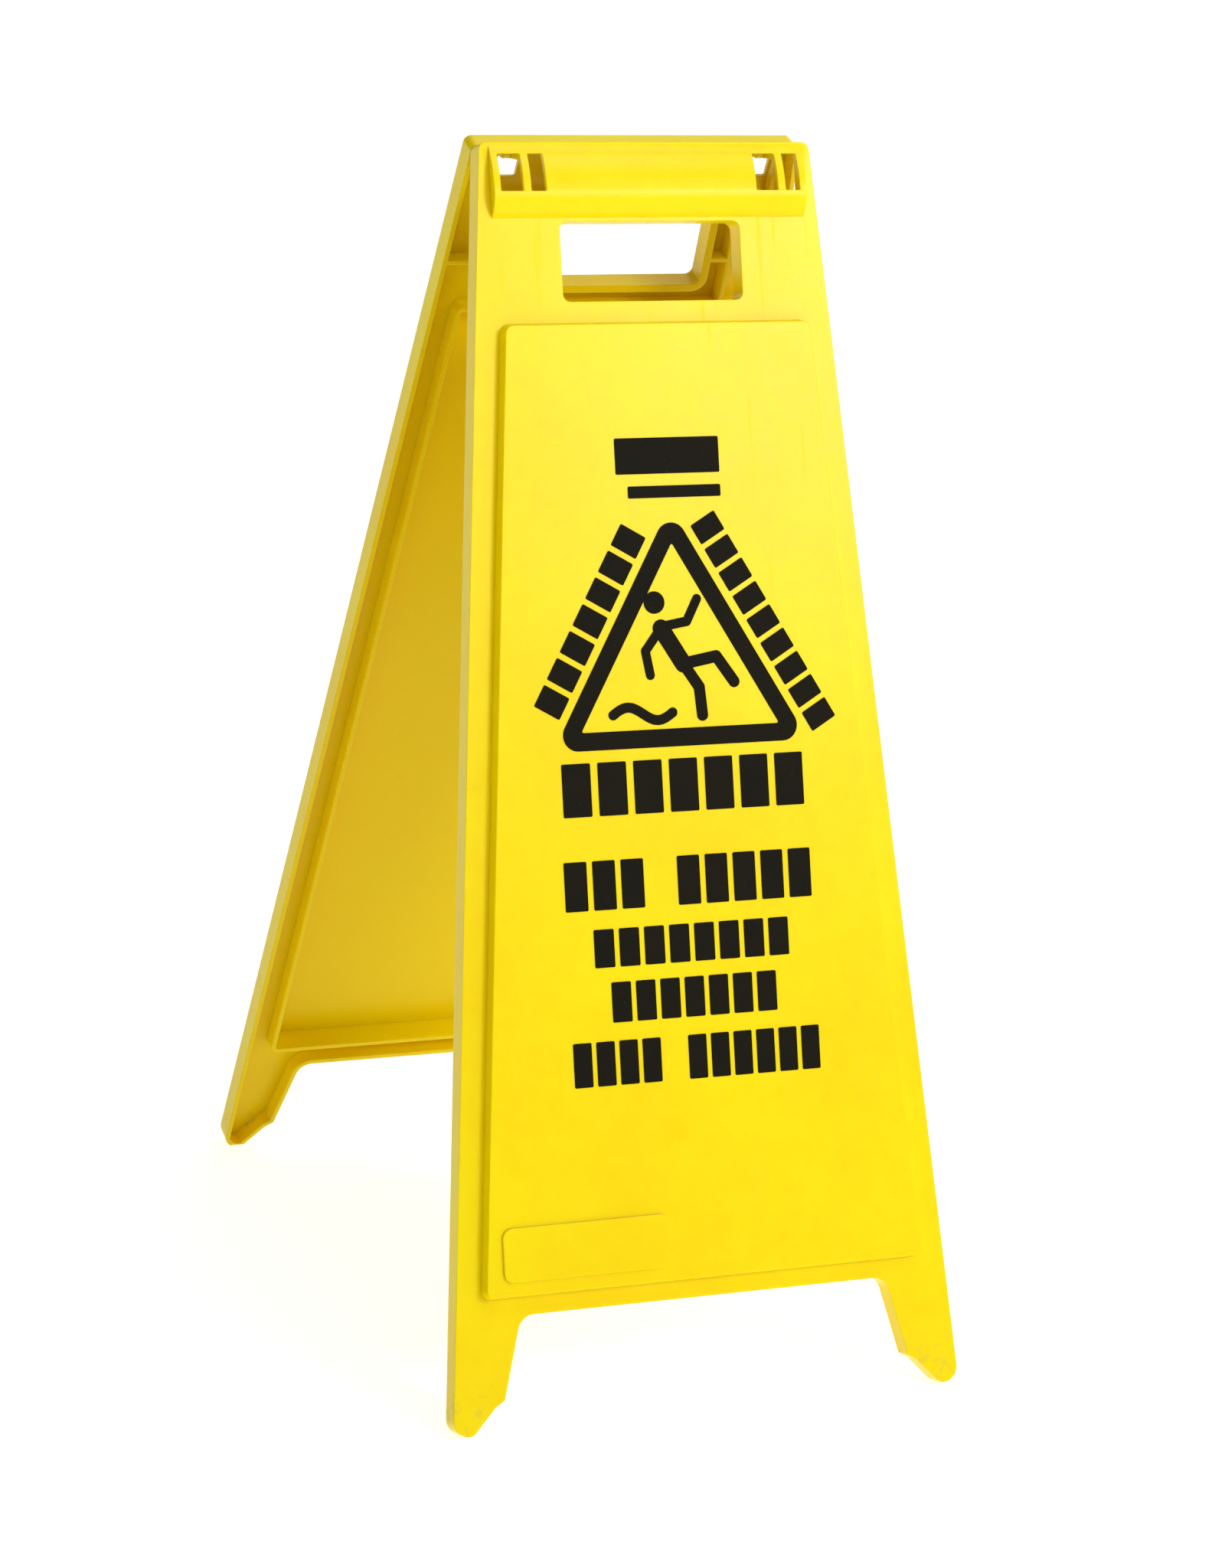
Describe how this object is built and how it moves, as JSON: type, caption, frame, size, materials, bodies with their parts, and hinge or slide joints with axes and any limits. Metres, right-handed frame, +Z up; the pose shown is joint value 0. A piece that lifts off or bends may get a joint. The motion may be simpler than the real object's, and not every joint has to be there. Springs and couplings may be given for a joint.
{
  "type": "wet floor sign",
  "caption": "Folding A-frame floor sign: two tapered ribbed plastic panels with a rolled top grip, hand hole and splayed feet, hinged at the top edge by snap pins.",
  "frame": {"origin": "centre of the open sign's footprint, on the floor", "axes": "+Z up, +X across the sign along the hinge line, front panel towards -Y"},
  "size_m": [0.2736, 0.4048, 0.6073],
  "materials": {
    "panel_plastic": "satin moulded polypropylene, yellow",
    "pin_plastic": "satin moulded, yellow",
    "printing_ink": "screen-printed ink, black"
  },
  "bodies": {
    "front": {"front_panel": "panel_plastic", "left_hinge_pin": "pin_plastic", "front_hazard_symbol": "printing_ink", "front_message_blocks": "printing_ink"},
    "back": {"back_panel": "panel_plastic", "right_hinge_pin": "pin_plastic", "back_hazard_symbol": "printing_ink", "back_message_blocks": "printing_ink"}
  },
  "joints": [
    {"name": "fold", "type": "hinge", "parent": "front", "child": "back", "pos_m": [0, 0, 0.60044], "axis": [-1, 0, 0], "range_deg": [0, 35.2]}
  ]
}
